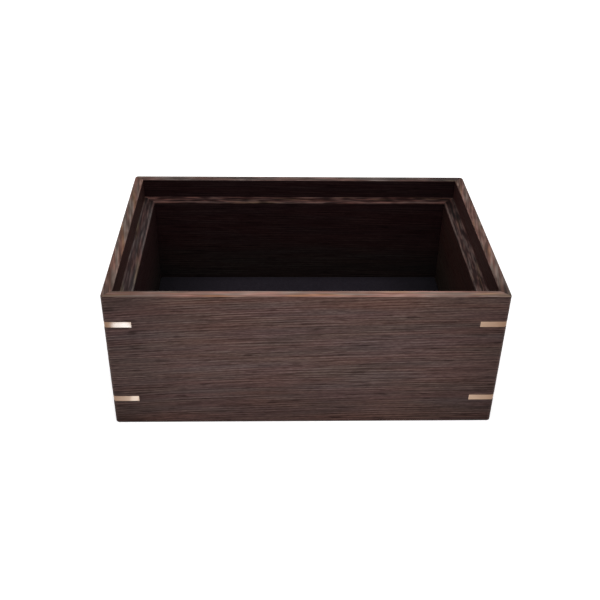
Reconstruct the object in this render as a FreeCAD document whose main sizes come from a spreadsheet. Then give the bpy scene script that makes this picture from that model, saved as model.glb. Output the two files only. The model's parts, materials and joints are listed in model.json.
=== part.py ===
# Open box of dark wood: four mitred walls tied at the corners by brass keys, a bottom panel held in
# grooves, and a cloth-covered floor board. Millimetres, +Z up, origin under the middle of the box.
import FreeCAD, Part
import os
import Sketcher

SIZES = [
    ("box_width", 300.0, "outside length along X"),
    ("box_depth", 200.0, "outside length along Y"),
    ("box_height", 120.0, "outside height"),
    ("wall_thickness", 18.0, "thickness of the four boards"),
    ("rim_thickness", 8.0, "what the rebate leaves of a board at its top"),
    ("rebate_depth", 17.0, "from the rim down to the ledge"),
    ("corner_radius", 3.0, "rounding of the upright outer corners"),
    ("arris_radius", 1.0, "easing of the outer top and bottom edges"),
    ("inner_arris_radius", 1.0, "easing of the rim's inner edge and of the ledge"),
    ("key_thickness", 5.0, "thickness of the brass bar"),
    ("key_leg", 20.5, "length of a key along each outer face"),
    ("key_inset", 24.8, "from the top or bottom of the box to the middle of a key"),
    ("key_fit", 0.05, "glue line above and below a key"),
    ("panel_lift", 6.0, "underside of the bottom panel above the table"),
    ("panel_thickness", 9.0, "thickness of the bottom panel"),
    ("panel_fit", 0.2, "play of the panel in the height of its groove"),
    ("panel_gap", 0.6, "room for the panel to swell at the bottom of its groove"),
    ("groove_depth", 6.0, "depth of the panel's groove"),
    ("board_thickness", 6.0, "thickness of the floor board"),
    ("lining_thickness", 1.2, "thickness of the floor's cloth"),
    ("lining_margin", 16.0, "width of the cloth turned under the board"),
    ("lining_radius", 1.0, "rounding of the cloth over the board's edges"),
    ("floor_gap", 0.3, "gap between the covered floor and the walls"),
]
TINY = 1e-6
sub_parts = []

doc = FreeCAD.newDocument("inlaid_box")
sheet = doc.addObject("Spreadsheet::Sheet", "sizes")
for row, (alias, value, note) in enumerate(SIZES, start=1):
    sheet.set(f"A{row}", alias)
    sheet.set(f"B{row}", str(value))
    sheet.set(f"C{row}", note)
    sheet.setAlias(f"B{row}", alias)
doc.recompute()


def value_of(formula):
    return float(sheet.evalExpression(formula))


def place(item, x="0", y="0", z="0", turn=0.0):
    """Stand an item at a place given by formulas, turned about the upright axis."""
    upright = FreeCAD.Vector(0, 0, 1)
    item.Placement = FreeCAD.Placement(FreeCAD.Vector(), FreeCAD.Rotation(upright, turn))
    for axis, formula in zip("xyz", (x, y, z)):
        item.setExpression(f"Placement.Base.{axis}", formula)


def origin_item(body, role):
    return next(item for item in body.Origin.OriginFeatures if item.Role == role)


def sketch_on(body, name, plane, height=None):
    sketch = body.newObject("Sketcher::SketchObject", name)
    sketch.AttachmentSupport = [(origin_item(body, plane), "")]
    sketch.MapMode = "FlatFace"
    if height:
        sketch.setExpression("AttachmentOffset.Base.z", height)
    return sketch


def add_outline(sketch, corners):
    """Closed outline of straight lines. Each corner is a pair of formulas from the sketch's origin."""
    first = sketch.GeometryCount
    count = len(corners)
    points = [FreeCAD.Vector(value_of(x), value_of(y), 0) for x, y in corners]
    for index in range(count):
        sketch.addGeometry(Part.LineSegment(points[index], points[(index + 1) % count]), False)
    for index, (x, y) in enumerate(corners):
        line = first + index
        next_line = first + (index + 1) % count
        sketch.addConstraint(Sketcher.Constraint("Coincident", line, 2, next_line, 1))
        for kind, axis, formula in (("DistanceX", -2, x), ("DistanceY", -1, y)):
            if formula == "0":
                sketch.addConstraint(Sketcher.Constraint("PointOnObject", line, 1, axis))
                continue
            held = Sketcher.Constraint(kind, -1, 1, line, 1, value_of(formula))
            sketch.setExpression(f"Constraints[{sketch.addConstraint(held)}]", formula)


def add_rectangle(sketch, left, bottom, right, top):
    add_outline(sketch, [(left, bottom), (right, bottom), (right, top), (left, top)])


def centred_rectangle(sketch, width, depth):
    add_rectangle(sketch, f"-({width}) / 2", f"-({depth}) / 2", f"({width}) / 2", f"({depth}) / 2")


def pad(body, name, sketch, length, symmetric=False):
    feature = body.newObject("PartDesign::Pad", name)
    feature.Profile = sketch
    feature.SideType = "Symmetric" if symmetric else "One side"
    feature.setExpression("Length", length)
    return feature


def pocket(body, name, sketch, length):
    """Cut half the length to each side of the sketch."""
    feature = body.newObject("PartDesign::Pocket", name)
    feature.Profile = sketch
    feature.SideType = "Symmetric"
    feature.setExpression("Length", length)
    return feature


def ease(body, name, base, radius, chosen):
    """Round those edges of a feature that the test picks out."""
    doc.recompute()
    edges = [f"Edge{number}" for number, edge in enumerate(base.Shape.Edges, start=1) if chosen(edge)]
    feature = body.newObject("PartDesign::Fillet", name)
    feature.Base = (base, edges)
    feature.setExpression("Radius", radius)
    return feature


def spans(edge, axis):
    """True for a straight edge along one axis of its body."""
    box = edge.BoundBox
    lengths = {"x": box.XLength, "y": box.YLength, "z": box.ZLength}
    along = lengths.pop(axis)
    return along > TINY and max(lengths.values()) < TINY


def at_height(edge, formula):
    return all(abs(point.Z - value_of(formula)) < TINY for point in edge.Vertexes)


def boolean(kind, name, base, tool):
    result = doc.addObject(f"Part::{kind}", name)
    result.Base = base
    result.Tool = tool
    return result


# Outer form that the glued-up box is dressed to, with its corners and edges eased
form = doc.addObject("PartDesign::Body", "dressed_form")
form_plan = sketch_on(form, "form_plan", "XY_Plane")
centred_rectangle(form_plan, "sizes.box_width", "sizes.box_depth")
form_block = pad(form, "form_block", form_plan, "sizes.box_height")
form_corners = ease(form, "form_corners", form_block, "sizes.corner_radius", lambda edge: spans(edge, "z"))
ease(
    form, "form_arrises", form_corners, "sizes.arris_radius",
    lambda edge: at_height(edge, "0") or at_height(edge, "sizes.box_height"),
)


def key_corner(corner_x, way):
    """Triangle with its right angle on a box corner and its other corners on the two outer faces."""
    return [(corner_x, "0"), (corner_x, "sizes.key_leg"), (f"{corner_x} {way} sizes.key_leg", "0")]


def make_wall(name, length, x, y, turn):
    """Board along X with its outer face on Y = 0: mitred, rebated, grooved and slotted for the keys."""
    board = doc.addObject("PartDesign::Body", f"{name}_board")
    end = f"{length} / 2"

    plan = sketch_on(board, f"{name}_plan", "XY_Plane")
    add_outline(plan, [
        (f"-{end}", "0"),
        (end, "0"),
        (f"{end} - sizes.wall_thickness", "sizes.wall_thickness"),
        (f"-{end} + sizes.wall_thickness", "sizes.wall_thickness"),
    ])
    pad(board, f"{name}_mitred", plan, "sizes.box_height")

    section = sketch_on(board, f"{name}_section", "YZ_Plane")
    past_face = "2 * sizes.wall_thickness"
    past_top = "sizes.box_height + sizes.rebate_depth"
    ledge = "sizes.box_height - sizes.rebate_depth"
    add_rectangle(section, "sizes.rim_thickness", ledge, past_face, past_top)
    add_rectangle(
        section, "sizes.wall_thickness - sizes.groove_depth", "sizes.panel_lift",
        past_face, "sizes.panel_lift + sizes.panel_thickness + sizes.panel_fit",
    )
    moulded = pocket(board, f"{name}_rebate_and_groove", section, f"2 * {length}")

    def inner_arris(edge):
        rim = at_height(edge, "sizes.box_height") and edge.BoundBox.YMin > TINY
        lip = at_height(edge, ledge) and edge.BoundBox.YMin > value_of("sizes.wall_thickness") - TINY
        return spans(edge, "x") and (rim or lip)

    ease(board, f"{name}_inner_arrises", moulded, "sizes.inner_arris_radius", inner_arris)

    slot_plan = sketch_on(board, f"{name}_slot_plan", "XY_Plane", "sizes.key_inset")
    add_outline(slot_plan, key_corner(end, "-"))
    add_outline(slot_plan, key_corner(f"-{end}", "+"))
    slots = pocket(board, f"{name}_lower_slots", slot_plan, "sizes.key_thickness + 2 * sizes.key_fit")
    doc.recompute()
    rows = board.newObject("PartDesign::LinearPattern", f"{name}_slot_rows")
    rows.Originals = [slots]
    rows.Direction = (origin_item(board, "Z_Axis"), [""])
    rows.Occurrences = 2
    rows.setExpression("Length", "sizes.box_height - 2 * sizes.key_inset")
    board.Tip = rows

    place(board, x, y, turn=turn)
    sub_parts.append(boolean("Common", name, board, form))


def make_key(name, x, y, z, turn):
    """Brass plate let across one corner and dressed flush with both faces."""
    bar = doc.addObject("PartDesign::Body", f"{name}_bar")
    plan = sketch_on(bar, f"{name}_plan", "XY_Plane")
    add_outline(plan, key_corner("0", "-"))
    pad(bar, f"{name}_plate", plan, "sizes.key_thickness", symmetric=True)
    place(bar, x, y, z, turn)
    sub_parts.append(boolean("Common", name, bar, form))


def make_slab(name, width, depth, thickness, z):
    """Rectangular sheet or board centred on the box."""
    slab = doc.addObject("PartDesign::Body", name)
    plan = sketch_on(slab, f"{name}_plan", "XY_Plane")
    centred_rectangle(plan, width, depth)
    block = pad(slab, f"{name}_block", plan, thickness)
    place(slab, z=z)
    return slab, block


RIGHT = "sizes.box_width / 2"
LEFT = "-sizes.box_width / 2"
BACK = "sizes.box_depth / 2"
FRONT = "-sizes.box_depth / 2"

make_wall("front_wall", "sizes.box_width", "0", FRONT, 0)
make_wall("right_wall", "sizes.box_depth", RIGHT, "0", 90)
make_wall("back_wall", "sizes.box_width", "0", BACK, 180)
make_wall("left_wall", "sizes.box_depth", LEFT, "0", 270)

corners = [
    ("front_right", RIGHT, FRONT, 0),
    ("back_right", RIGHT, BACK, 90),
    ("back_left", LEFT, BACK, 180),
    ("front_left", LEFT, FRONT, 270),
]
levels = [("lower", "sizes.key_inset"), ("upper", "sizes.box_height - sizes.key_inset")]
for corner, corner_x, corner_y, turn in corners:
    for level, height in levels:
        make_key(f"{corner}_{level}_key", corner_x, corner_y, height, turn)

# Bottom panel, loose in the grooves and resting on their lower cheeks
tongue = "2 * (sizes.groove_depth - sizes.panel_gap)"
inside_width = "(sizes.box_width - 2 * sizes.wall_thickness)"
inside_depth = "(sizes.box_depth - 2 * sizes.wall_thickness)"
panel, _ = make_slab(
    "bottom_panel", f"{inside_width} + {tongue}", f"{inside_depth} + {tongue}",
    "sizes.panel_thickness", "sizes.panel_lift",
)
sub_parts.append(panel)

# Floor board and the cloth stretched over it and turned under its edges
floor_z = "sizes.panel_lift + sizes.panel_thickness"
floor_width = f"({inside_width} - 2 * sizes.floor_gap)"
floor_depth = f"({inside_depth} - 2 * sizes.floor_gap)"
board_width = f"({floor_width} - 2 * sizes.lining_thickness)"
board_depth = f"({floor_depth} - 2 * sizes.lining_thickness)"
floor_board, _ = make_slab(
    "floor_board", board_width, board_depth,
    "sizes.board_thickness", f"{floor_z} + sizes.lining_thickness",
)
sub_parts.append(floor_board)

wrap_height = "sizes.board_thickness + 2 * sizes.lining_thickness"
wrap, wrap_block = make_slab("lining_wrap", floor_width, floor_depth, wrap_height, floor_z)
ease(wrap, "lining_turns", wrap_block, "sizes.lining_radius", lambda edge: not at_height(edge, "0"))
window = sketch_on(wrap, "lining_window", "XY_Plane")
both_margins = "2 * sizes.lining_margin"
centred_rectangle(window, f"{board_width} - {both_margins}", f"{board_depth} - {both_margins}")
pocket(wrap, "lining_opening", window, "2 * sizes.lining_thickness")
sub_parts.append(boolean("Cut", "floor_lining", wrap, floor_board))

doc.recompute()
failed = [item.Name for item in doc.Objects if {"Invalid", "Error"} & set(item.State)]
if failed:
    raise RuntimeError(f"failed objects: {failed}")
for item in sub_parts:
    if item.Shape.isNull() or not item.Shape.isValid() or len(item.Shape.Solids) != 1:
        raise RuntimeError(f"{item.Label} is not one valid solid")

os.makedirs("parts", exist_ok=True)
for item in sub_parts:
    item.Shape.Solids[0].exportStep(f"parts/{item.Label}.step")
    size = item.Shape.BoundBox
    print(f"{item.Label}: {size.XLength:.2f} x {size.YLength:.2f} x {size.ZLength:.2f} mm, "
          f"{item.Shape.Volume / 1000:.2f} cm3")
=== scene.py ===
import json
import math

import bmesh
import bpy
from mathutils import Matrix, Vector, noise


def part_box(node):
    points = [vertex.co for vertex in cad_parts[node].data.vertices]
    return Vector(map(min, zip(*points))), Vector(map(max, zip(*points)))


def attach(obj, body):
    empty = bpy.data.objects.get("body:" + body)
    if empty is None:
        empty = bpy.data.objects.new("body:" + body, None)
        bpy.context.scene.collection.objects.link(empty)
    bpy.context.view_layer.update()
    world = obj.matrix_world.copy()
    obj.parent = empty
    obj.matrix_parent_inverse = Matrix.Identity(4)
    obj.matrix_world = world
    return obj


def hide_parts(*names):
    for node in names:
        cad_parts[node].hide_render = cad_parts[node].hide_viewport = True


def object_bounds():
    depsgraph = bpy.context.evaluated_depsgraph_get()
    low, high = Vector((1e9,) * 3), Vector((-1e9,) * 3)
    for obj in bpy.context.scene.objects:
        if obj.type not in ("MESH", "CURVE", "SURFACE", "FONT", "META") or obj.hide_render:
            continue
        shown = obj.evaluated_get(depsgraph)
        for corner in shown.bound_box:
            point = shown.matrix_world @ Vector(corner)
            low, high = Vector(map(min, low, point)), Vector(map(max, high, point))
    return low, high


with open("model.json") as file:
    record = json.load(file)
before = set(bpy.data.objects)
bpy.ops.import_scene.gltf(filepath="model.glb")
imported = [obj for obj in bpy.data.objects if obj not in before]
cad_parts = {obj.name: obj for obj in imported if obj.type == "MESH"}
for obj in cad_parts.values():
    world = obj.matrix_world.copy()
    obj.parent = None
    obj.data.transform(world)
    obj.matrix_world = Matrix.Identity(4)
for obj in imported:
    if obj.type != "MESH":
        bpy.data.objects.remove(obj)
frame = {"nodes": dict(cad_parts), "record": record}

mm = 0.001
touching = 1e-6  # points closer than this are one
white = (1.0, 1.0, 1.0)  # as a tint, no change

cadLow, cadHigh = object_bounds()
wallLow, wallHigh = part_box("front_wall")
keyLow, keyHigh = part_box("front_right_lower_key")
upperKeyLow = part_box("front_right_upper_key")[0]
clothLow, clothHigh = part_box("floor_lining")
mounts = {mount["name"]: mount for mount in frame["record"]["mounts"]}
seat = Vector(mounts["lid_seat"]["pos_m"])  # on the middle of the front ledge

halfWidth = cadHigh.x
halfDepth = cadHigh.y
halfSize = {"X": halfWidth, "Y": halfDepth}
boxHeight = cadHigh.z
wallThickness = wallHigh.y - wallLow.y
rimThickness = 2 * (halfDepth + seat.y) - wallThickness
ledgeHeight = seat.z
cornerRadius = (halfWidth - wallHigh.x) / (1 - math.sqrt(0.5))  # the mitre cuts the rounding in half
print("frame: box", [round(2 * halfWidth / mm), round(2 * halfDepth / mm), round(boxHeight / mm)], "mm")


class Wire:  # one socket of a node tree, with arithmetic on it
    def __init__(self, tree, socket=None):
        self.tree = tree
        self.socket = socket

    def feed(self, socket, value):  # a link or a constant, where a colour may leave out its alpha
        if isinstance(value, Wire):
            self.tree.links.new(value.socket, socket)
        elif socket.type == "RGBA" and len(value) == 3:
            socket.default_value = (*value, 1.0)
        else:
            socket.default_value = value

    def fill(self, node, inputs):
        for key, value in inputs.items():
            self.feed(node.inputs[key], value)

    # any node: its settings first, then what its sockets hold
    def add(self, kind, settings=None, inputs=None, output=0):
        made = self.tree.nodes.new(kind)
        for name, value in (settings or {}).items():
            if name == "stops":
                self.setStops(made.color_ramp, value)
            else:
                setattr(made, name, value)
        self.fill(made, inputs or {})
        return Wire(self.tree, made.outputs[output] if made.outputs else None)

    def setStops(self, ramp, stops):
        while len(ramp.elements) < len(stops):
            ramp.elements.new(1.0)
        for element, (position, colour) in zip(ramp.elements, stops):
            element.position = position
            element.color = (*colour, 1.0)

    def output(self, name):  # another output of the same node
        return Wire(self.tree, self.socket.node.outputs[name])

    def maths(self, operation, other=0.0, reflected=False):
        first, second = (other, self) if reflected else (self, other)
        return self.add("ShaderNodeMath", {"operation": operation}, {0: first, 1: second})

    def __add__(self, other):
        return self.maths("ADD", other)

    def __sub__(self, other):
        return self.maths("SUBTRACT", other)

    def __rsub__(self, other):
        return self.maths("SUBTRACT", other, reflected=True)

    def __mul__(self, other):
        return self.maths("MULTIPLY", other)

    def __truediv__(self, other):
        return self.maths("DIVIDE", other)

    def __abs__(self):
        return self.maths("ABSOLUTE")

    __radd__ = __add__
    __rmul__ = __mul__

    def centred(self):  # noise about 0 instead of about a half
        return self - 0.5

    def ramp(self, low, high, newLow=0.0, newHigh=1.0):  # soft step from low to high
        return self.add(
            "ShaderNodeMapRange", {"interpolation_type": "SMOOTHSTEP"},
            {"Value": self, "From Min": low, "From Max": high, "To Min": newLow, "To Max": newHigh},
        )

    def over(self, span, origin=0.0, unit=mm):  # soft step over a span that is measured from an origin
        low, high = span
        return self.ramp(origin + low * unit, origin + high * unit)

    # noise with so many cells per metre along each axis, stepped between two of its values
    def noise(self, cells, detail=1.0, rough=0.5, shift=0.0, step=None):
        moved = self.add(
            "ShaderNodeVectorMath", {"operation": "MULTIPLY_ADD"},
            {0: self, 1: cells, 2: (shift, shift, shift)},
        )
        value = self.add(
            "ShaderNodeTexNoise", None,
            {"Vector": moved, "Scale": 1.0, "Detail": detail, "Roughness": rough},
        )
        return value.ramp(*step) if step else value

    def tint(self, first, second):  # two colours mixed by this factor
        return self.add(
            "ShaderNodeMix", {"data_type": "RGBA", "clamp_factor": True},
            {0: self, 6: first, 7: second}, 2,
        )

    def times(self, other):  # a colour or vector times another
        return self.add("ShaderNodeVectorMath", {"operation": "MULTIPLY"}, {0: self, 1: other})

    def scaled(self, factor):  # a colour or vector times a number
        return self.add("ShaderNodeVectorMath", {"operation": "SCALE"}, {0: self, "Scale": factor})

    def combine(self, x=0.0, y=0.0, z=0.0):
        return self.add("ShaderNodeCombineXYZ", None, {0: x, 1: y, 2: z})

    def axes(self):  # X of this vector, with Y and Z as other outputs
        return self.add("ShaderNodeSeparateXYZ", None, {0: self})

    def bump(self, strength, depth):  # this height as a normal
        return self.add("ShaderNodeBump", None, {"Height": self, "Strength": strength, "Distance": depth})


def summed(base, weights, layers):  # a base and the layers by their weights
    total = base
    for name, weight in weights.items():
        total = layers[name] * weight + total
    return total


def newMaterial(name, constants):  # the material, its object coordinates and its shader
    material = bpy.data.materials.new(name)
    material.use_nodes = True
    start = Wire(material.node_tree)
    shader = material.node_tree.nodes["Principled BSDF"]
    start.fill(shader, constants)
    return material, start.add("ShaderNodeTexCoord", output="Object"), shader


def dress(material, name):
    node = frame["nodes"][name]
    node.data.materials.clear()
    node.data.materials.append(material)


# dark striped wood, its grain along one axis of the box
wallWood = {
    "specular": 0.06,
    "linePitch": 2.25 * mm,
    "lineJitter": 12.0,      # radians over which lines stray
    "wander": 3 * mm,
    "topWander": 0.2,        # share of the wander on rims and ledges
    "topSkew": (0.25, 1.0),  # share of a board's skew on the ledge and on the rim
    # layers of noise: cells per metre along the grain, up the board and through it
    # these bend and break the lines
    "lines": {
        "wander": dict(on="still", cells=(3, 9, 9), shift=0),
        "jitter": dict(cells=(5, 70, 70), shift=5),
        "break": dict(cells=(18, 260, 260), detail=0, shift=3, step=(0.3, 0.65)),
    },
    # these lighten and darken the wood, the last four where rims and ledges cut through its figure
    "figure": {
        "fibre": dict(cells=(25, 1350, 1350), detail=2, rough=0.65, shift=0, step=(0.36, 0.64)),
        "fleck": dict(cells=(220, 1250, 1250), rough=0.6, shift=19, step=(0.36, 0.64)),
        "band": dict(cells=(4, 110, 70), detail=2, shift=17),
        "cloud": dict(on="still", cells=(5, 16, 16), detail=2, shift=29),
        "thread": dict(on="tops", cells=(25, 1350, 1350), detail=2, rough=0.65, shift=11, step=(0.36, 0.64)),
        "streak": dict(on="tops", cells=(10, 650, 650), detail=2, rough=0.6, shift=13, step=(0.3, 0.7)),
        "dapple": dict(on="tops", cells=(36, 720, 720), detail=2, rough=0.6, shift=23, step=(0.3, 0.7)),
        "patch": dict(on="tops", cells=(66, 310, 310), shift=53, step=(0.3, 0.7)),
    },
    # these are masks from 0 to 1
    "masks": {
        "dash": dict(cells=(58, 620, 620), detail=0, shift=7, step=(0.62, 0.74)),
        "pore": dict(cells=(120, 2400, 2400), detail=0, shift=31, step=(0.64, 0.72)),
        "hue": dict(cells=(12, 150, 150), shift=41, step=(0.3, 0.7)),
        "tan": dict(cells=(9, 70, 70), shift=61, step=(0.3, 0.7)),
        "topHue": dict(on="tops", cells=(28, 330, 330), shift=59, step=(0.3, 0.7)),
        "moss": dict(on="tops", cells=(24, 260, 260), shift=47, step=(0.52, 0.75)),
    },
    # millimetres over which a kind of face begins
    "spans": {
        "rim": (-0.5, -0.15),        # from the top of the box
        "seam": (-2.8, -1.4),        # a darker band just below the top edge, from the top of the box
        "ledgeLevel": (-2.0, -1.2),  # from the ledge's height
        "inside": (-0.3, -0.1),      # from the rim's inner face
        "ledge": (0.05, 0.3),        # from the rim's inner face
        "foot": (2.2, 0.9),          # from the rim's inner face
        "arris": (-1.8, -0.8),       # painted highlight on the ledge's inner edge, from the wall's inner face
        "edge": (1.2, 0.4),          # painted highlight on the rim's outer edge, from the wall's outer face
        "glue": (0.6, 0.2),          # painted highlight along the mitre line, from the mitre
        "skirt": (9.0, 0.0),         # painted shade at the foot, from the table
    },
    "rebateMargin": 2 * mm,  # of the ledge, where the tones of the faces above and below it end
    # shares of the box's height, and of a board's half length for its painted end shade
    "shares": {
        # upper is painted light at the top of the outer faces, lower is painted shade on their lower half
        "upper": (0.9, 1.0), "lower": (0.55, 0.0), "depths": (0.62, 0.25),
        "warmTop": (0.85, 1.0), "warmFoot": (0.2, 0.0), "ends": (0.5, 1.0),
    },
    "endReach": {"rim": 0.4, "ledge": 0.45, "inner": 0.0},  # share of half a board where the painted light and shade at the ends begins
    # tone of each kind of face, and what the layers and faces add to it
    "outerTone": 0.46,
    "outerWeights": {
        "line": 0.15, "fibre": 0.27, "fleck": 0.13, "dash": -0.2, "band": 0.17, "cloud": 0.2,
        # painted light at the top, painted shade on the lower half, at the foot and towards the ends of the
        # outer faces
        "upper": 0.05, "lower": -0.2, "skirt": -0.06, "seam": -0.1, "ends": -0.155,
    },
    "innerContrast": 0.9,
    "rimTone": 0.47,
    # the rim's outer edge gets a painted highlight, and its ends painted shade
    "rimWeights": {"streak": 0.38, "thread": 0.3, "cloud": 0.4, "ends": -0.1, "wornEdge": 0.15},
    "ledgeTone": 0.46,
    # the ledge's inner edge and its mitre lines get painted highlights
    "ledgeWeights": {
        "dapple": 0.36, "thread": 0.3, "arris": 0.33, "dustyFoot": 0.3, "glue": 0.3, "gluedFoot": 0.4,
    },
    # dark, middle and pale stops of each kind of face
    "outer": [(0.0, (0.028, 0.0140, 0.0120)), (0.45, (0.1162, 0.0710, 0.0626)), (1.0, (0.330, 0.225, 0.200))],
    # the rim's stops are paler than the outer ones, partly from its own edge grain and partly as painted
    # light on the up-facing rim
    "rim": [(0.0, (0.052, 0.028, 0.020)), (0.45, (0.164, 0.1025, 0.0813)), (1.0, (0.410, 0.285, 0.235))],
    # the inner and ledge stops are darker than the outer ones, partly as a darker inside finish and partly as
    # painted shade inside the box
    "inner": [(0.0, (0.008, 0.003, 0.003)), (0.45, (0.026, 0.011, 0.010)), (1.0, (0.070, 0.040, 0.033))],
    "ledge": [(0.0, (0.005, 0.003, 0.003)), (0.45, (0.027, 0.0150, 0.0138)), (1.0, (0.140, 0.090, 0.077))],
    "hueTints": ((1.07, 0.97, 0.97), (0.95, 1.01, 1.03)),
    "tanTints": ((1.02, 1.0, 0.95), (0.985, 1.0, 1.045)),
    "topHueTints": ((1.17, 0.93, 0.93), (0.89, 1.01, 1.07)),
    "mossTints": (white, (1.06, 1.05, 0.77)),
    "marginTints": (white, (1.045, 0.982, 0.93)),
    "depthTints": (white, (0.85, 1.40, 1.26)),
    "roughness": 0.5,
    "roughWeights": {"fibre": 0.12, "pore": 0.2},
    "bumpWeights": {"fibre": 0.3, "pore": -1.0},
    "bumpStrength": 0.25,
    "bumpDepth": 0.12 * mm,
}

# how the grain runs in each board, where it lies in the log, and the tones of its faces and their ends; the
# rim, ledge, rebate and inner tones and their end tones are painted light and shade that differ from board to
# board
wallBoards = {
    "front_wall": {
        "along": "X", "across": "Y", "outward": -1, "tilt": 0.038, "bow": 0.09, "skew": 0.010, "log": 3.0,
        "rim": (1.15, 1.15, 1.15), "rimEnds": (0.58, 0.88), "rimPatch": 0.15,
        "ledge": (0.85, 0.74, 0.72), "ledgeEnds": (1.0, 1.0), "ledgePatch": 0.5,
        "rebate": (1.0, 1.0, 1.0), "inner": (0.80, 0.80, 0.80), "innerEnds": (1.0, 1.0),
    },
    "back_wall": {
        "along": "X", "across": "Y", "outward": 1, "tilt": -0.012, "bow": 0.05, "skew": 0.020, "log": 11.0,
        "rim": (0.53, 0.56, 0.59), "rimEnds": (1.0, 0.55), "rimPatch": 0.40,
        "ledge": (0.78, 0.68, 0.66), "ledgeEnds": (1.05, 0.66), "ledgePatch": 0.6,
        "rebate": (0.50, 0.50, 0.58), "inner": (0.60, 0.60, 0.68), "innerEnds": (1.0, 1.0),
    },
    "left_wall": {
        "along": "Y", "across": "X", "outward": -1, "tilt": 0.015, "bow": 0.0, "skew": 0.14, "log": 23.0,
        "rim": (0.62, 0.61, 0.60), "rimEnds": (0.92, 1.62), "rimPatch": 0.35,
        "ledge": (0.92, 1.01, 1.05), "ledgeEnds": (0.9, 0.45), "ledgePatch": 0.2,
        "rebate": (1.28, 1.36, 1.30), "inner": (0.66, 0.66, 0.72), "innerEnds": (0.70, 1.05),
    },
    "right_wall": {
        "along": "Y", "across": "X", "outward": 1, "tilt": -0.020, "bow": 0.0, "skew": -0.15, "log": 37.0,
        "rim": (0.56, 0.55, 0.55), "rimEnds": (0.66, 1.36), "rimPatch": 0.45,
        "ledge": (0.75, 0.75, 0.74), "ledgeEnds": (0.90, 0.35), "ledgePatch": 0.5,
        "rebate": (1.24, 1.24, 1.22), "inner": (0.85, 0.85, 0.79), "innerEnds": (0.76, 1.12),
    },
}


def grainOf(axes, board):  # lines, figure and masks of one board
    look = wallWood
    length = axes.output(board["along"])
    across = axes.output(board["across"])
    height = axes.output("Z")
    places = {"still": axes.combine(length, height, across)}

    def drawn(kind, name):  # a layer of noise in this board's part of the log
        layer = dict(look[kind][name])
        place = places[layer.pop("on", "grain")]
        layer["shift"] += board["log"]
        return place.noise(**layer)

    wander = drawn("lines", "wander").centred() * look["wander"]
    rise = height + wander - length * board["tilt"] + length * length * board["bow"]
    places["grain"] = axes.combine(length, rise, across + wander)
    skew = height.ramp(ledgeHeight, boxHeight, *look["topSkew"]) * board["skew"]
    skewed = across + wander * look["topWander"] + length * skew
    places["tops"] = axes.combine(length, height, skewed)

    layers = {name: drawn("figure", name).centred() for name in look["figure"]}
    layers |= {name: drawn("masks", name) for name in look["masks"]}
    jitter = drawn("lines", "jitter").centred() * look["lineJitter"]
    phase = (rise + across + wander) * (2 * math.pi / look["linePitch"]) + jitter
    layers["line"] = phase.maths("SINE") * drawn("lines", "break")
    return layers


def facesOf(axes, board, grain):  # masks of the faces of one wall, and of the edges and joints on them
    spans = wallWood["spans"]
    shares = wallWood["shares"]
    end = halfSize[board["along"]]
    deep = halfSize[board["across"]] - axes.output(board["across"]) * board["outward"]
    length = abs(axes.output(board["along"]))
    height = axes.output("Z")
    rim = height.over(spans["rim"], boxHeight)
    onLedge = height.over(spans["ledgeLevel"], ledgeHeight)
    foot = deep.over(spans["foot"], rimThickness)
    glue = (end - length - deep).over(spans["glue"])
    margin = wallWood["rebateMargin"]
    warmTop = height.over(shares["warmTop"], unit=boxHeight)
    warmFoot = height.over(shares["warmFoot"], unit=boxHeight)
    return {
        "rim": rim,
        "inside": deep.over(spans["inside"], rimThickness) * (1 - rim),
        "belowLedge": deep.ramp(rimThickness + margin, wallThickness - margin),
        "depths": height.over(shares["depths"], unit=boxHeight),
        "ledge": deep.over(spans["ledge"], rimThickness) * onLedge,
        "arris": deep.over(spans["arris"], wallThickness) * onLedge,
        # lighter patches on the ledge along the foot of the rebate wall
        "dustyFoot": foot * grain["topHue"],
        "glue": glue,
        "gluedFoot": glue * foot,
        "wornEdge": deep.over(spans["edge"]) * grain["topHue"],
        # painted shade towards the ends of the outer faces and rims
        "ends": length.over(shares["ends"], unit=end),
        # painted light at the top of the outer faces, painted shade on their lower half and at the foot
        "upper": height.over(shares["upper"], unit=boxHeight),
        "lower": height.over(shares["lower"], unit=boxHeight),
        "skirt": height.over(spans["skirt"]),
        # a darker band just below the top edge
        "seam": height.over(spans["seam"], boxHeight),
        "margins": warmTop + warmFoot,
    }


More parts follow.
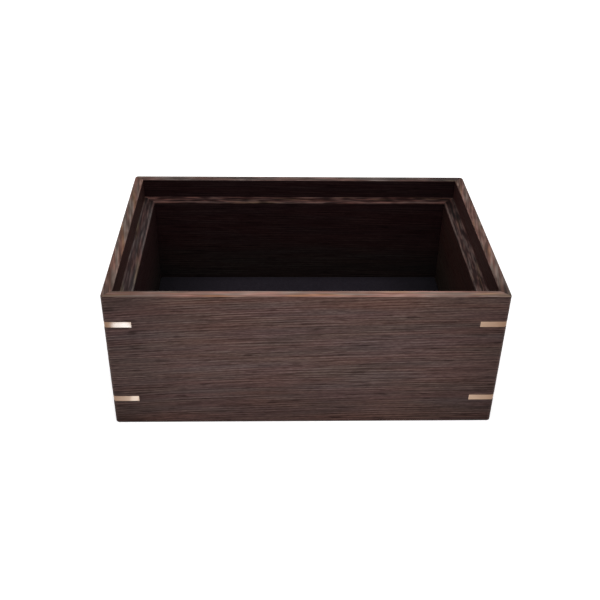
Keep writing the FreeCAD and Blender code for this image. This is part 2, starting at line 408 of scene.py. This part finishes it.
def darkWood(name, board):
    look = wallWood
    material, spot, shader = newMaterial(name + "Wood", {"Specular IOR Level": look["specular"]})
    axes = spot.axes()
    grain = grainOf(axes, board)
    faces = facesOf(axes, board, grain)
    layers = grain | faces

    def endTones(kind):  # painted light and shade at the two ends of a face
        end = halfSize[board["along"]]
        reach = look["endReach"][kind] * end
        low, high = board[kind + "Ends"]
        place = axes.output(board["along"])
        return place.ramp(-end, -reach, low, 1.0) * place.ramp(reach, end, 1.0, high)

    def coloured(kind, tone):
        return axes.add("ShaderNodeValToRGB", {"stops": look[kind]}, {0: tone})

    def topColour(kind):  # a rim or a ledge
        weights = look[kind + "Weights"] | {"patch": board[kind + "Patch"]}
        tone = summed(look[kind + "Tone"], weights, layers)
        hue = grain["topHue"].tint(*look["topHueTints"]).times(grain["moss"].tint(*look["mossTints"]))
        # each board's rim or ledge tone and its end tones are painted light and shade
        return coloured(kind, tone).times(hue.times(board[kind]).scaled(endTones(kind)))

    tone = summed(look["outerTone"], look["outerWeights"], layers)
    hue = grain["hue"].tint(*look["hueTints"])
    warm = faces["margins"].tint(*look["marginTints"]).times(grain["tan"].tint(*look["tanTints"]))
    outer = coloured("outer", tone).times(hue).times(warm)

    innerTone = (tone - look["outerTone"]) * look["innerContrast"] + look["outerTone"]
    # each board's rebate and inner tones are painted light and shade inside the box
    shade = faces["belowLedge"].tint(board["rebate"], board["inner"])
    shade = shade.times(faces["depths"].tint(*look["depthTints"])).scaled(endTones("inner"))
    inner = coloured("inner", innerTone).times(shade).times(hue)

    colour = faces["inside"].tint(outer, inner)
    colour = faces["ledge"].tint(colour, topColour("ledge"))
    colour = faces["rim"].tint(colour, topColour("rim"))
    height = summed(0.0, look["bumpWeights"], grain)
    spot.fill(shader, {
        "Base Color": colour,
        "Roughness": summed(look["roughness"], look["roughWeights"], grain),
        "Normal": height.bump(look["bumpStrength"], look["bumpDepth"]),
    })
    return material


for node, board in wallBoards.items():
    dress(darkWood(node, board), node)
print("wood: four walls")


# the keys: one dressed plate stands at each corner of an upright block
keySizes = {
    "Leg": keyHigh.x - keyLow.x,
    "Thickness": keyHigh.z - keyLow.z,
    "Corner Radius": cornerRadius,
    "Ease": 0.12 * mm,
    "Width": 2 * halfWidth,
    "Depth": 2 * halfDepth,
    "Rise": upperKeyLow.z - keyLow.z,
    "Lower Middle": (keyLow.z + keyHigh.z) / 2,
}
keyMesh = {"cornerSteps": 8, "crease": 30}  # below the crease, in degrees, faces look smooth

# warm brass, brushed along the keys, with painted shade in its reflection towards the corners and on the
# upper keys, and random tarnish
brassLook = {
    "bright": (0.360, 0.249, 0.180),
    "dull": (0.190, 0.115, 0.076),
    "brush": dict(cells=(35, 35, 5000), detail=2, rough=0.6),
    "cloud": dict(cells=(110, 110, 160), detail=2),
    "cornerShade": 0.8,    # painted shade in the reflection, at the corner, and gone at the end of a leg
    "upperKeyShade": 0.3,   # painted shade in the reflection, more on the upper keys
    "cloudDull": 0.5,
    "gloss": 0.09,
    "glossWeights": {"brush": 0.04, "cloud": 0.04},
    "bumpStrength": 0.12,
    "bumpDepth": 0.03 * mm,
}


def brushedBrass():
    look = brassLook
    material, spot, shader = newMaterial("brushedBrass", {"Metallic": 1.0})
    layers = {name: spot.noise(**look[name]).centred() for name in ("brush", "cloud")}
    axes = spot.axes()
    # painted shade in the brass's reflection: darker towards the corner and on the upper keys; the cloud adds
    # random tarnish
    onUpperKeys = axes.output("Z").ramp(keyHigh.z, upperKeyLow.z)
    fromCorner = halfWidth - abs(axes) + halfDepth - abs(axes.output("Y"))
    shadeAndTarnish = look["cornerShade"] - fromCorner * (look["cornerShade"] / keySizes["Leg"])
    shadeAndTarnish = shadeAndTarnish + onUpperKeys * look["upperKeyShade"] + layers["cloud"] * look["cloudDull"]
    spot.fill(shader, {
        "Base Color": shadeAndTarnish.tint(look["bright"], look["dull"]),
        "Roughness": summed(look["gloss"], look["glossWeights"], layers),
        "Normal": layers["brush"].bump(look["bumpStrength"], look["bumpDepth"]),
    })
    return material


def keyTree(material):
    tree = bpy.data.node_groups.new("cornerKeys", "GeometryNodeTree")
    sockets = {
        name: tree.interface.new_socket(name=name, in_out="INPUT", socket_type="NodeSocketFloat")
        for name in keySizes
    }
    tree.interface.new_socket(name="Geometry", in_out="OUTPUT", socket_type="NodeSocketGeometry")
    start = Wire(tree)
    size = start.add("NodeGroupInput")
    leg = size.output("Leg")
    thick = size.output("Thickness")
    ease = size.output("Ease")

    # plan of a key: right angle on the corner of the box, which is rounded
    points = [
        (0, 0, 0), start.combine(y=leg), start.combine(leg * -0.5, leg * 0.5), start.combine(leg * -1.0),
    ]
    plan = start.add(
        "GeometryNodeCurvePrimitiveQuadrilateral", {"mode": "POINTS"},
        {"Point " + str(number): point for number, point in enumerate(points, 1)},
    )
    atCorner = 1 - start.add("GeometryNodeInputIndex").maths("MINIMUM", 1.0)
    plan = start.add(
        "GeometryNodeFilletCurve", {"mode": "POLY"},
        {"Curve": plan, "Count": keyMesh["cornerSteps"], "Radius": atCorner * size.output("Corner Radius"),
         "Limit Radius": True},
    )
    face = start.add("GeometryNodeFillCurve", {"mode": "NGONS"}, {"Curve": plan})
    lowered = start.combine(z=thick * -0.5)
    face = start.add("GeometryNodeTransform", None, {"Geometry": face, "Translation": lowered})

    # three lifts make the plate, with a thin eased edge below and above
    plate = face
    chosen = True
    for lift in (ease, thick - ease * 2.0, ease):
        plate = start.add(
            "GeometryNodeExtrudeMesh", {"mode": "FACES"},
            {"Mesh": plate, "Selection": chosen, "Offset": start.combine(z=1.0), "Offset Scale": lift,
             "Individual": False},
        )
        chosen = plate.output("Top")
    under = start.add("GeometryNodeFlipFaces", None, {"Mesh": face})
    plate = start.add("GeometryNodeJoinGeometry", None, {"Geometry": plate})
    start.feed(plate.socket.node.inputs["Geometry"], under)
    plate = start.add("GeometryNodeMergeByDistance", None, {"Geometry": plate, "Distance": touching})

    # the upper and lower outlines are drawn in towards the middle, a third of a leg from both sides
    spot = start.add("GeometryNodeInputPosition")
    level = abs(spot.axes().output("Z"))
    eased = level.maths("GREATER_THAN", thick * 0.5 - ease * 0.5)
    third = leg / 3.0
    middle = start.combine(third * -1.0, third)
    inward = start.add("ShaderNodeVectorMath", {"operation": "SUBTRACT"}, {0: middle, 1: spot})
    pull = inward.times((1, 1, 0)).scaled(eased * ease / third)
    plate = start.add("GeometryNodeSetPosition", None, {"Geometry": plate, "Offset": pull})

    # the eight corners of a block carry the eight keys
    extent = start.combine(size.output("Width"), size.output("Depth"), size.output("Rise"))
    block = start.add("GeometryNodeMeshCube", None, {"Size": extent}, "Mesh")
    lifted = start.combine(z=size.output("Lower Middle") + size.output("Rise") * 0.5)
    block = start.add("GeometryNodeTransform", None, {"Geometry": block, "Translation": lifted})
    corner = spot.axes()
    sideX = corner.maths("SIGN")
    sideY = corner.output("Y").maths("SIGN")
    turn = sideY.maths("ARCTAN2", sideX) + math.pi / 4
    keys = start.add(
        "GeometryNodeInstanceOnPoints", None,
        {"Points": block, "Instance": plate, "Rotation": start.combine(z=turn)},
    )
    keys = start.add("GeometryNodeRealizeInstances", None, {"Geometry": keys})
    keys = start.add("GeometryNodeSetMaterial", None, {"Geometry": keys, "Material": material})
    start.add("NodeGroupOutput", None, {"Geometry": keys})
    return tree, sockets


def plainMesh(source, name):  # the evaluated object as a mesh of its own
    graph = bpy.context.evaluated_depsgraph_get()
    mesh = bpy.data.meshes.new_from_object(source.evaluated_get(graph))
    mesh.name = name
    return mesh


def tidyNormals(mesh, crease):  # faces outwards, smooth below the crease angle
    work = bmesh.new()
    work.from_mesh(mesh)
    bmesh.ops.remove_doubles(work, verts=work.verts, dist=touching)
    bmesh.ops.recalc_face_normals(work, faces=work.faces)
    work.to_mesh(mesh)
    work.free()
    mesh.shade_smooth()
    mesh.set_sharp_from_angle(angle=crease)


def addPiece(name, mesh):
    piece = bpy.data.objects.new(name, mesh)
    bpy.context.scene.collection.objects.link(piece)
    return piece


def cornerKeys():
    tree, sockets = keyTree(brushedBrass())
    maker = addPiece("keyMaker", bpy.data.meshes.new("keyMaker"))
    modifier = maker.modifiers.new("keys", "NODES")
    modifier.node_group = tree
    for name, value in keySizes.items():
        modifier[sockets[name].identifier] = value
    mesh = plainMesh(maker, "cornerKeys")
    bpy.data.objects.remove(maker)
    tidyNormals(mesh, math.radians(keyMesh["crease"]))
    keys = addPiece("cornerKeys", mesh)
    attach(keys, "root")
    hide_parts(*[name for name in frame["nodes"] if name.endswith("_key")])
    print("keys:", len(mesh.polygons), "faces")


cornerKeys()


# cloth stretched over the floor board and turned under its edges
clothLook = {
    "thickness": 1.1 * mm,
    "turn": 2.0 * mm,        # rounding over the board's upper edge
    "turnSteps": 8,
    "underTurn": 0.8 * mm,
    "underSteps": 4,
    "margin": 16 * mm,       # turned under the board
    "plan": 1.2 * mm,        # rounding of the four corners, which shrinks inwards
    "planShrink": 0.2,
    "leastPlan": 0.5 * mm,
    "cornerSteps": 6,
    "step": 3 * mm,
    "swell": 0.12 * mm,      # unevenness of the top
    "swellCells": (28.0, 90.0),
    "topBand": 0.5 * mm,
    # felt: strands and lint in navy, darker towards the ends and the sides
    "navy": (0.0094, 0.0073, 0.0104),
    "lint": (0.0240, 0.0198, 0.0258),
    "layers": {
        "fuzz": dict(cells=(1900, 1900, 1900), detail=3, rough=0.7),
        "strand": dict(cells=(700, 2600, 900), detail=2, rough=0.6, shift=5),
        "clump": dict(cells=(380, 420, 400), detail=3, rough=0.65, shift=9),
        "cloud": dict(cells=(45, 45, 45), detail=2, shift=9),
    },
    "lintShare": 0.31,
    "lintWeights": {"fuzz": 1.3, "strand": 0.7, "clump": 0.9, "cloud": 0.3},
    "endShade": (80 * mm, 0.34),   # how far it reaches, and what is left at the very edge
    "sideShade": (12 * mm, 0.75),
    "bumpWeights": {"fuzz": 1.0, "strand": 0.6},
    "bumpStrength": 0.6,
    "bumpDepth": 0.3 * mm,
    "shader": {
        "Specular IOR Level": 0.05, "Sheen Weight": 0.02, "Sheen Roughness": 0.6,
        "Sheen Tint": (0.5, 0.52, 0.65), "Roughness": 0.95,
    },
}


def feltedCloth():
    look = clothLook
    material, spot, shader = newMaterial("feltedCloth", look["shader"])
    layers = {name: spot.noise(**layer).centred() for name, layer in look["layers"].items()}
    lint = summed(look["lintShare"], look["lintWeights"], layers)
    axes = spot.axes()

    def shaded(kind, fromEdge):  # darker towards an edge
        reach, least = look[kind]
        return fromEdge.ramp(0.0, reach, least, 1.0)

    shade = shaded("endShade", clothHigh.x - abs(axes))
    shade = shade * shaded("sideShade", clothHigh.y - abs(axes.output("Y")))
    height = summed(0.0, look["bumpWeights"], layers)
    spot.fill(shader, {
        "Base Color": lint.tint(look["navy"], look["lint"]).scaled(shade),
        "Normal": height.bump(look["bumpStrength"], look["bumpDepth"]),
    })
    return material


def roundedRing(halfX, halfY, radius, height, perSide):  # points round a rectangle with rounded corners
    arcSteps = clothLook["cornerSteps"]
    corners = []
    for signX, signY, startAngle in [(1, -1, -90), (1, 1, 0), (-1, 1, 90), (-1, -1, 180)]:
        for step in range(arcSteps + 1):
            angle = math.radians(startAngle + 90 * step / arcSteps)
            x = signX * (halfX - radius) + radius * math.cos(angle)
            y = signY * (halfY - radius) + radius * math.sin(angle)
            corners.append(Vector((x, y, height)))
    points = []
    for index, here in enumerate(corners):
        points.append(here)
        if index % (arcSteps + 1) == arcSteps:  # a straight side follows
            there = corners[(index + 1) % len(corners)]
            count = perSide[index // (arcSteps + 1) % 2]
            points.extend(here.lerp(there, step / count) for step in range(1, count))
    return points


def clothRings():  # inset and height of each ring, from the edge turned under to the middle of the top
    look = clothLook
    top = clothHigh.z
    bottom = clothLow.z
    turn = look["turn"]
    under = look["underTurn"]
    rings = [(look["margin"], bottom), (look["margin"] * 0.5, bottom)]
    for step in range(look["underSteps"] + 1):
        angle = math.radians(90 * step / look["underSteps"])
        rings.append((under * (1 - math.sin(angle)), bottom + under * (1 - math.cos(angle))))
    for step in range(look["turnSteps"] + 1):
        angle = math.radians(90 * step / look["turnSteps"])
        rings.append((turn * (1 - math.cos(angle)), top - turn + turn * math.sin(angle)))
    inset = turn
    while inset < clothHigh.y - 2 * look["step"]:
        inset += look["step"]
        rings.append((inset, top))
    return rings


def clothMesh():
    look = clothLook
    halfX = clothHigh.x
    halfY = clothHigh.y
    perSide = [round(2 * halfY / look["step"]), round(2 * halfX / look["step"])]
    work = bmesh.new()
    loops = []
    for inset, height in clothRings():
        radius = max(look["plan"] - inset * look["planShrink"], look["leastPlan"])
        points = roundedRing(halfX - inset, halfY - inset, radius, height, perSide)
        loops.append([work.verts.new(point) for point in points])
    for lower, upper in zip(loops, loops[1:]):
        count = len(lower)
        for index in range(count):
            after = (index + 1) % count
            work.faces.new((lower[index], lower[after], upper[after], upper[index]))
    work.faces.new(loops[-1])
    broad, small = look["swellCells"]
    for vert in work.verts:
        if vert.co.z > clothHigh.z - look["topBand"]:
            wave = noise.noise(vert.co * broad) + 0.5 * noise.noise(vert.co * small)
            vert.co.z -= look["swell"] * (1 + wave) * 0.5
    bmesh.ops.recalc_face_normals(work, faces=work.faces)
    mesh = bpy.data.meshes.new("floorCloth")
    work.to_mesh(mesh)
    work.free()
    mesh.shade_smooth()
    return mesh


def floorCloth():
    look = clothLook
    mesh = clothMesh()
    mesh.materials.append(feltedCloth())
    cloth = addPiece("floorCloth", mesh)
    thicken = cloth.modifiers.new("thickness", "SOLIDIFY")
    thicken.thickness = look["thickness"]
    thicken.offset = -1.0
    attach(cloth, "root")
    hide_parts("floor_lining")
    wrap = clothHigh.z - clothLow.z + look["margin"]
    width = 2 * (clothHigh.x + wrap)
    depth = 2 * (clothHigh.y + wrap)
    width * depth - 4 * wrap * wrap
    print("cloth: cut", round(width / mm), "x", round(depth / mm), "mm")


floorCloth()


# the bottom panel's underside, of the walls' wood left plain
panelBoard = {
    "along": "X", "across": "Y", "tilt": 0.01, "bow": 0.03, "skew": 0.02, "log": 51.0,
    "tone": 0.40,
    "weights": {"fibre": 0.5, "line": 0.2, "dash": -0.25, "streak": 0.3},
    "roughness": 0.62,
    "roughWeights": {"pore": 0.2},
}


def panelWood():
    board = panelBoard
    material, spot, shader = newMaterial("panelWood", {"Specular IOR Level": wallWood["specular"]})
    grain = grainOf(spot.axes(), board)
    tone = summed(board["tone"], board["weights"], grain)
    spot.fill(shader, {
        "Base Color": spot.add("ShaderNodeValToRGB", {"stops": wallWood["outer"]}, {0: tone}),
        "Roughness": summed(board["roughness"], board["roughWeights"], grain),
    })
    return material


# the floor board's plain plywood, hidden by the cloth
plywoodLook = {
    "fibre": dict(cells=(60, 900, 900), detail=2, rough=0.6),
    "plies": dict(cells=(1, 1, 700), detail=0),
    "weights": {"fibre": 0.6, "plies": 0.4},
    "dark": (0.30, 0.20, 0.11),
    "pale": (0.58, 0.44, 0.27),
    "roughness": 0.6,
    "roughWeights": {"fibre": 0.2},
    "specular": 0.3,
}


def plywood():
    look = plywoodLook
    material, spot, shader = newMaterial("plywood", {"Specular IOR Level": look["specular"]})
    layers = {name: spot.noise(**look[name]) for name in ("fibre", "plies")}
    spot.fill(shader, {
        "Base Color": summed(0.0, look["weights"], layers).tint(look["dark"], look["pale"]),
        "Roughness": summed(look["roughness"], look["roughWeights"], layers),
    })
    return material


dress(panelWood(), "bottom_panel")
dress(plywood(), "floor_board")
print("hidden wood: bottom panel and floor board")


# pale floor that glows a little, white surround, a softbox above the front of the box
# and low strips that light its other sides and not its inside
studio = {
    "floorSpan": 6.0,
    "floorDrop": 0.2 * mm,
    "floorGlow": 0.25,
    "floorWhite": (0.45, 0.85),  # added where the floor is looked at, near the box and far from it
    "whiteReach": (0.15, 0.55),  # from the middle of the box
    "ambient": 0.08,             # surround, as light on the box
    "floorShader": {
        "Base Color": (0.8, 0.8, 0.8), "Roughness": 0.9, "Specular IOR Level": 0.0, "Emission Strength": 1.0,
    },
    # cool pools of light on the floor that the left keys mirror, with a wider edge where soft is larger
    "pools": [
        dict(middle=(-0.1700, -0.2308), half=(0.0155, 0.0080), soft=0.45, colour=(2.7, 4.4, 6.4)),
        dict(middle=(-0.1400, -0.1295), half=(0.0150, 0.0200), soft=1.0, colour=(0.25, 0.38, 0.50)),
        dict(middle=(-0.1398, -0.1295), half=(0.0036, 0.0100), soft=0.8, colour=(0.7, 1.0, 1.3)),
    ],
    # a lamp points straight down, is tilted and then turned about the upright, in degrees
    "lamps": {
        "topSoftbox": dict(place=(0.0, -0.18, 0.65), size=(0.50, 0.36), power=4.1, tilt=0, turn=0),
        "leftStrip": dict(place=(-0.85, 0.0, 0.065), size=(0.50, 0.10), power=1.3, tilt=90, turn=-90),
        "rightStrip": dict(place=(0.85, 0.0, 0.065), size=(0.50, 0.10), power=1.3, tilt=90, turn=90),
        "backStrip": dict(place=(0.0, 0.80, 0.065), size=(0.60, 0.10), power=1.5, tilt=90, turn=180),
    },
}


def lookedAt(start):  # 1 where the camera, a mirror or glass looks, and the part of it that mirrors see
    path = start.add("ShaderNodeLightPath", output="Is Camera Ray")
    glossy = path.output("Is Glossy Ray")
    return path.maths("MAXIMUM", glossy).maths("MAXIMUM", path.output("Is Transmission Ray")), glossy


def floorMaterial():
    material, spot, shader = newMaterial("paleFloor", studio["floorShader"])
    shown, glossy = lookedAt(spot)
    away = spot.add("ShaderNodeVectorMath", {"operation": "LENGTH"}, {0: spot}, "Value")
    glow = shown * away.ramp(*studio["whiteReach"], *studio["floorWhite"]) + studio["floorGlow"]
    axes = spot.axes()
    for pool in studio["pools"]:
        offX = (axes - pool["middle"][0]) / pool["half"][0]
        offY = (axes.output("Y") - pool["middle"][1]) / pool["half"][1]
        inPool = (offX * offX + offY * offY).ramp(1 + pool["soft"], 1 - pool["soft"]) * glossy
        glow = spot.add(
            "ShaderNodeVectorMath", {"operation": "MULTIPLY_ADD"}, {0: inPool, 1: pool["colour"], 2: glow},
        )
    spot.fill(shader, {"Emission Color": glow})
    return material


def paleFloor():
    half = studio["floorSpan"] / 2
    corners = [(-half, -half), (half, -half), (half, half), (-half, half)]
    mesh = bpy.data.meshes.new("studioFloor")
    mesh.from_pydata([(x, y, -studio["floorDrop"]) for x, y in corners], [], [(0, 1, 2, 3)])
    mesh.materials.append(floorMaterial())
    addPiece("studioFloor", mesh)


def whiteSurround():
    world = bpy.data.worlds.new("whiteSurround")
    bpy.context.scene.world = world
    world.use_nodes = True
    start = Wire(world.node_tree)
    shown = lookedAt(start)[0]
    start.fill(world.node_tree.nodes["Background"], {
        "Color": white, "Strength": shown.maths("MAXIMUM", studio["ambient"]),
    })


def softboxes():
    for name, settings in studio["lamps"].items():
        lamp = bpy.data.lights.new(name, "AREA")
        lamp.shape = "RECTANGLE"
        lamp.size, lamp.size_y = settings["size"]
        lamp.energy = settings["power"]
        holder = bpy.data.objects.new(name, lamp)
        holder.location = settings["place"]
        holder.rotation_euler = (math.radians(settings["tilt"]), 0.0, math.radians(settings["turn"]))
        holder.visible_camera = False
        bpy.context.scene.collection.objects.link(holder)


paleFloor()
whiteSurround()
softboxes()

# camera found from the box's edges in the photograph
cameraSettings = {
    "place": (-0.02676, -0.62232, 0.46488),
    "yaw": -2.32,
    "pitch": 33.635,     # downwards
    "roll": 1.26,
    "lens": 51.85,
    "sensor": 36.0,
}


def photoCamera():
    look = cameraSettings
    data = bpy.data.cameras.new("photoCamera")
    data.sensor_width = look["sensor"]
    data.lens = look["lens"]
    camera = bpy.data.objects.new("photoCamera", data)
    turn = Matrix.Rotation(math.radians(look["yaw"]), 4, "Z")
    turn = turn @ Matrix.Rotation(math.radians(90 - look["pitch"]), 4, "X")
    turn = turn @ Matrix.Rotation(math.radians(look["roll"]), 4, "Z")
    camera.matrix_world = Matrix.Translation(look["place"]) @ turn
    bpy.context.scene.collection.objects.link(camera)
    bpy.context.scene.camera = camera


photoCamera()
bpy.context.scene.view_settings.view_transform = "Standard"
print("studio: floor, lamps and camera")
